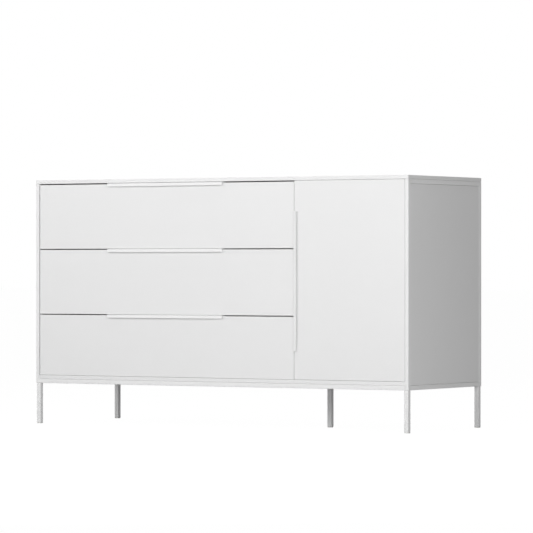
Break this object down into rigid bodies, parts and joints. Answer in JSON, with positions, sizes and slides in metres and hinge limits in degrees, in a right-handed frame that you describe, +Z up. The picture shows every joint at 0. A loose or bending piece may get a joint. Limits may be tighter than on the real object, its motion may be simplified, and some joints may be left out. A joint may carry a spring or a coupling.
{
  "type": "sideboard buffet",
  "caption": "Long low sideboard on slim square legs, with wide inset drawers beside a side-hung inset door, all opened by folded edge pulls.",
  "frame": {"origin": "on the floor, under the middle of the overall box with the pulls included", "axes": "+X to the right along the width as seen from the front, +Y from the fronts to the back, +Z up; the fronts face -Y"},
  "size_m": [1.4, 0.479, 0.795],
  "materials": {
    "white_lacquer": "smooth matt white lacquer on fibreboard",
    "white_powder_coat": "fine matt white powder coat on steel",
    "white_melamine": "white melamine-faced board with a fine grain",
    "grey_drawer_steel": "pale grey epoxy coat on folded steel",
    "zinc_plate": "bright zinc plate on steel",
    "white_nylon": "moulded white nylon"
  },
  "bodies": {
    "cabinet": {"back_panel": "white_melamine", "bottom_panel": "white_lacquer", "centre_base_rail": "white_powder_coat", "centre_glide": "white_nylon", "centre_leg": "white_powder_coat", "divider_panel": "white_melamine", "door_catch": "white_nylon", "drawer_1_left_runner": "zinc_plate", "drawer_1_right_runner": "zinc_plate", "drawer_2_left_runner": "zinc_plate", "drawer_2_right_runner": "zinc_plate", "drawer_3_left_runner": "zinc_plate", "drawer_3_right_runner": "zinc_plate", "front_base_rail": "white_powder_coat", "front_left_glide": "white_nylon", "front_left_leg": "white_powder_coat", "front_right_glide": "white_nylon", "front_right_leg": "white_powder_coat", "left_side_frame": "white_powder_coat", "left_side_panel": "white_lacquer", "lower_door_pin": "zinc_plate", "rear_base_rail": "white_powder_coat", "rear_left_glide": "white_nylon", "rear_left_leg": "white_powder_coat", "rear_right_glide": "white_nylon", "rear_right_leg": "white_powder_coat", "right_side_frame": "white_powder_coat", "right_side_panel": "white_lacquer", "shelf": "white_melamine", "shelf_pin_front_left": "zinc_plate", "shelf_pin_front_right": "zinc_plate", "shelf_pin_rear_left": "zinc_plate", "shelf_pin_rear_right": "zinc_plate", "top_panel": "white_lacquer", "upper_door_pin": "zinc_plate"},
    "drawer_1": {"drawer_1_back": "white_melamine", "drawer_1_bottom": "white_melamine", "drawer_1_front": "white_lacquer", "drawer_1_handle": "white_powder_coat", "drawer_1_left_side": "grey_drawer_steel", "drawer_1_right_side": "grey_drawer_steel"},
    "drawer_2": {"drawer_2_back": "white_melamine", "drawer_2_bottom": "white_melamine", "drawer_2_front": "white_lacquer", "drawer_2_handle": "white_powder_coat", "drawer_2_left_side": "grey_drawer_steel", "drawer_2_right_side": "grey_drawer_steel"},
    "drawer_3": {"drawer_3_back": "white_melamine", "drawer_3_bottom": "white_melamine", "drawer_3_front": "white_lacquer", "drawer_3_handle": "white_powder_coat", "drawer_3_left_side": "grey_drawer_steel", "drawer_3_right_side": "grey_drawer_steel"},
    "door": {"door_catch_plate": "zinc_plate", "door_handle": "white_powder_coat", "door_panel": "white_lacquer", "lower_door_bush": "white_nylon", "upper_door_bush": "white_nylon"}
  },
  "joints": [
    {"name": "drawer_1_slide", "type": "slide", "parent": "cabinet", "child": "drawer_1", "axis": [0, -1, 0], "range_m": [0, 0.3]},
    {"name": "drawer_2_slide", "type": "slide", "parent": "cabinet", "child": "drawer_2", "axis": [0, -1, 0], "range_m": [0, 0.3]},
    {"name": "drawer_3_slide", "type": "slide", "parent": "cabinet", "child": "drawer_3", "axis": [0, -1, 0], "range_m": [0, 0.3]},
    {"name": "door_hinge", "type": "hinge", "parent": "cabinet", "child": "door", "pos_m": [0.6769, -0.2275, 0.4707], "axis": [0, 0, 1], "range_deg": [0, 100]}
  ]
}
